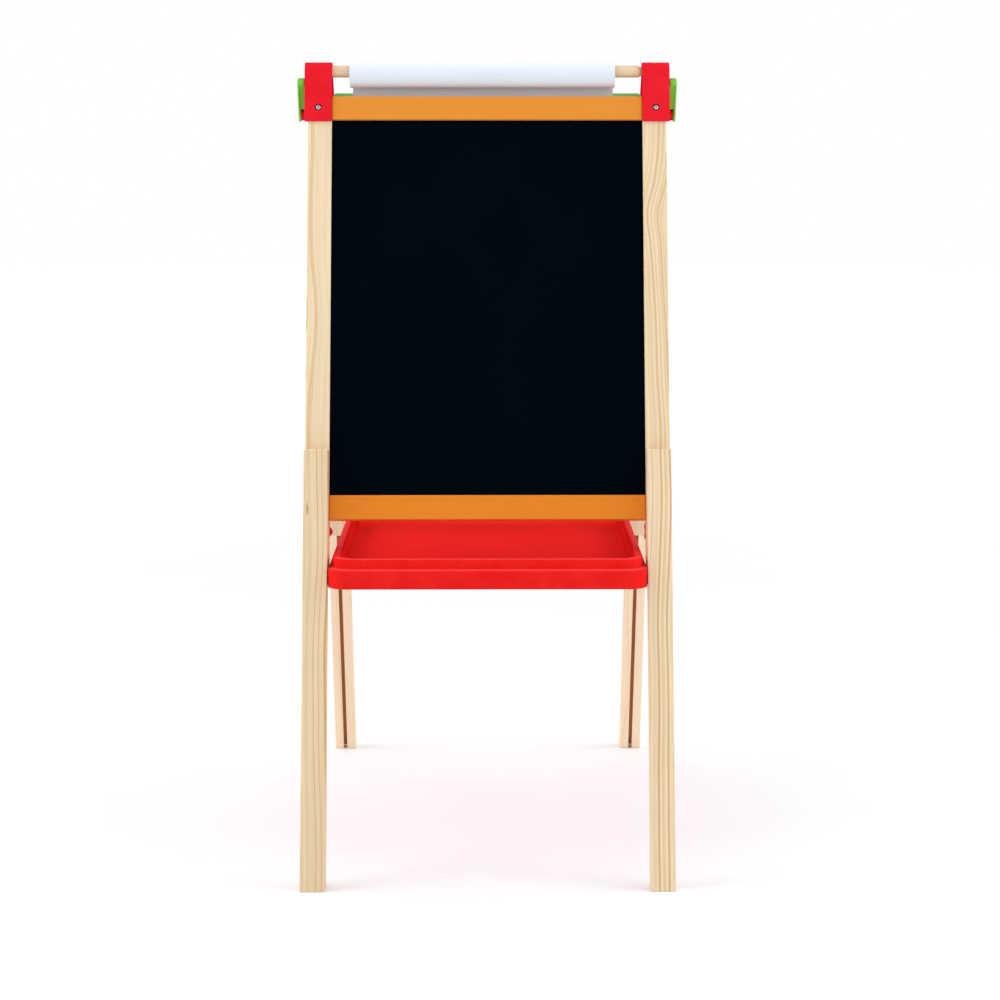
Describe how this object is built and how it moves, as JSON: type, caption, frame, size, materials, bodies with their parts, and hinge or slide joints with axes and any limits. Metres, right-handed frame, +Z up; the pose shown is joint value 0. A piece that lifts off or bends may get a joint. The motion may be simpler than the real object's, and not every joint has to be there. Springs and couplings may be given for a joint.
{
  "type": "children's easel",
  "caption": "Child's double-sided wooden A-frame easel with chalkboard, whiteboard, sliding legs, plastic tray and a paper roll on a dowel.",
  "frame": {"origin": "on the floor, midway between the four feet", "axes": "+Z up, +X to the right of a person who faces the chalkboard, +Y from the chalkboard side to the whiteboard side"},
  "size_m": [0.5104, 0.6728, 1.0489],
  "materials": {
    "pine": "planed pine with a clear matt lacquer",
    "orange_paint": "satin orange stain and lacquer on pine",
    "green_paint": "satin green stain and lacquer on pine",
    "chalkboard": "matt black chalkboard paint on hardboard",
    "whiteboard": "gloss white laminate on hardboard",
    "red_plastic": "satin red moulded plastic",
    "green_plastic": "satin green moulded plastic",
    "blue_plastic": "satin light blue moulded plastic",
    "zinc_steel": "zinc-plated steel",
    "cardboard": "plain brown core board",
    "paper": "uncoated white drawing paper"
  },
  "bodies": {
    "front_frame": {"front_stile_L": "pine", "front_stile_R": "pine", "front_top_rail": "orange_paint", "front_bottom_rail": "orange_paint", "chalkboard": "chalkboard", "hinge_cap_L": "red_plastic", "hinge_cap_R": "red_plastic", "cap_screw_L": "zinc_steel", "cap_screw_R": "zinc_steel", "front_top_rail_screw_L": "zinc_steel", "front_top_rail_screw_R": "zinc_steel", "front_bottom_rail_screw_L": "zinc_steel", "front_bottom_rail_screw_R": "zinc_steel", "front_tray_pin_L": "zinc_steel", "front_tray_pin_R": "zinc_steel", "front_clamp_bolt_L": "zinc_steel", "front_clamp_bolt_R": "zinc_steel", "paper_tail": "paper"},
    "back_frame": {"back_stile_L": "pine", "back_stile_R": "pine", "back_top_rail": "green_paint", "back_bottom_rail": "green_paint", "whiteboard": "whiteboard", "hinge_housing_L": "green_plastic", "hinge_housing_R": "green_plastic", "housing_screw_L": "zinc_steel", "housing_screw_R": "zinc_steel", "pivot_screw_L": "zinc_steel", "pivot_screw_R": "zinc_steel", "back_top_rail_screw_L": "zinc_steel", "back_top_rail_screw_R": "zinc_steel", "back_bottom_rail_screw_L": "zinc_steel", "back_bottom_rail_screw_R": "zinc_steel", "back_tray_pin_L": "zinc_steel", "back_tray_pin_R": "zinc_steel", "back_clamp_bolt_L": "zinc_steel", "back_clamp_bolt_R": "zinc_steel", "paper_guide_bar": "pine", "guide_stud_L": "zinc_steel", "guide_stud_R": "zinc_steel"},
    "front_leg_L": {"front_leg_L": "pine", "front_leg_stop_pin_L": "zinc_steel"},
    "front_leg_R": {"front_leg_R": "pine", "front_leg_stop_pin_R": "zinc_steel"},
    "back_leg_L": {"back_leg_L": "pine", "back_leg_stop_pin_L": "zinc_steel"},
    "back_leg_R": {"back_leg_R": "pine", "back_leg_stop_pin_R": "zinc_steel"},
    "front_knob_L": {"front_knob_L": "red_plastic"},
    "front_knob_R": {"front_knob_R": "red_plastic"},
    "back_knob_L": {"back_knob_L": "red_plastic"},
    "back_knob_R": {"back_knob_R": "red_plastic"},
    "guide_knob_L": {"guide_knob_L": "blue_plastic"},
    "guide_knob_R": {"guide_knob_R": "blue_plastic"},
    "dowel": {"paper_dowel": "pine"},
    "roll": {"roll_core": "cardboard", "paper_roll": "paper"},
    "tray_bushes": {"tray_bush_L": "red_plastic", "tray_bush_R": "red_plastic"},
    "tray": {"tray": "red_plastic"}
  },
  "joints": [
    {"name": "fold", "type": "hinge", "parent": "front_frame", "child": "back_frame", "pos_m": [0, 0, 0.9795], "axis": [-1, 0, 0], "range_deg": [0, 29]},
    {"name": "front_leg_L_height", "type": "slide", "parent": "front_frame", "child": "front_leg_L", "axis": [0, 0.2768, 0.9609], "range_m": [-0.075, 0.28]},
    {"name": "front_leg_R_height", "type": "slide", "parent": "front_frame", "child": "front_leg_R", "axis": [0, 0.2768, 0.9609], "range_m": [-0.075, 0.28]},
    {"name": "back_leg_L_height", "type": "slide", "parent": "back_frame", "child": "back_leg_L", "axis": [0, -0.2768, 0.9609], "range_m": [-0.075, 0.28]},
    {"name": "back_leg_R_height", "type": "slide", "parent": "back_frame", "child": "back_leg_R", "axis": [0, -0.2768, 0.9609], "range_m": [-0.075, 0.28]},
    {"name": "front_knob_L_spin", "type": "hinge", "parent": "front_frame", "child": "front_knob_L", "pos_m": [-0.224, -0.16729, 0.43795], "axis": [0, -0.9609, 0.2768], "continuous": true},
    {"name": "front_knob_R_spin", "type": "hinge", "parent": "front_frame", "child": "front_knob_R", "pos_m": [0.224, -0.16729, 0.43795], "axis": [0, -0.9609, 0.2768], "continuous": true},
    {"name": "back_knob_L_spin", "type": "hinge", "parent": "back_frame", "child": "back_knob_L", "pos_m": [-0.224, 0.16729, 0.43795], "axis": [0, 0.9609, 0.2768], "continuous": true},
    {"name": "back_knob_R_spin", "type": "hinge", "parent": "back_frame", "child": "back_knob_R", "pos_m": [0.224, 0.16729, 0.43795], "axis": [0, 0.9609, 0.2768], "continuous": true},
    {"name": "guide_knob_L_spin", "type": "hinge", "parent": "back_frame", "child": "guide_knob_L", "pos_m": [-0.1885, 0.03541, 0.9897], "axis": [0, 0.9609, 0.2768], "continuous": true},
    {"name": "guide_knob_R_spin", "type": "hinge", "parent": "back_frame", "child": "guide_knob_R", "pos_m": [0.1885, 0.03541, 0.9897], "axis": [0, 0.9609, 0.2768], "continuous": true},
    {"name": "dowel_shift", "type": "slide", "parent": "front_frame", "child": "dowel", "axis": [1, 0, 0], "range_m": [-0.003, 0.012]},
    {"name": "roll_spin", "type": "hinge", "parent": "dowel", "child": "roll", "pos_m": [0, -0.0065, 1.0319], "axis": [1, 0, 0], "continuous": true},
    {"name": "tray_tilt", "type": "hinge", "parent": "front_frame", "child": "tray_bushes", "pos_m": [0, -0.19219, 0.38965], "axis": [-1, 0, 0], "range_deg": [0, 14.5]},
    {"name": "tray_lift", "type": "slide", "parent": "tray_bushes", "child": "tray", "axis": [0, 0, 1], "range_m": [0, 0.024]}
  ],
  "couplings": [
    {"joint": "tray_tilt", "follows": "fold", "ratio": 0.5}
  ]
}
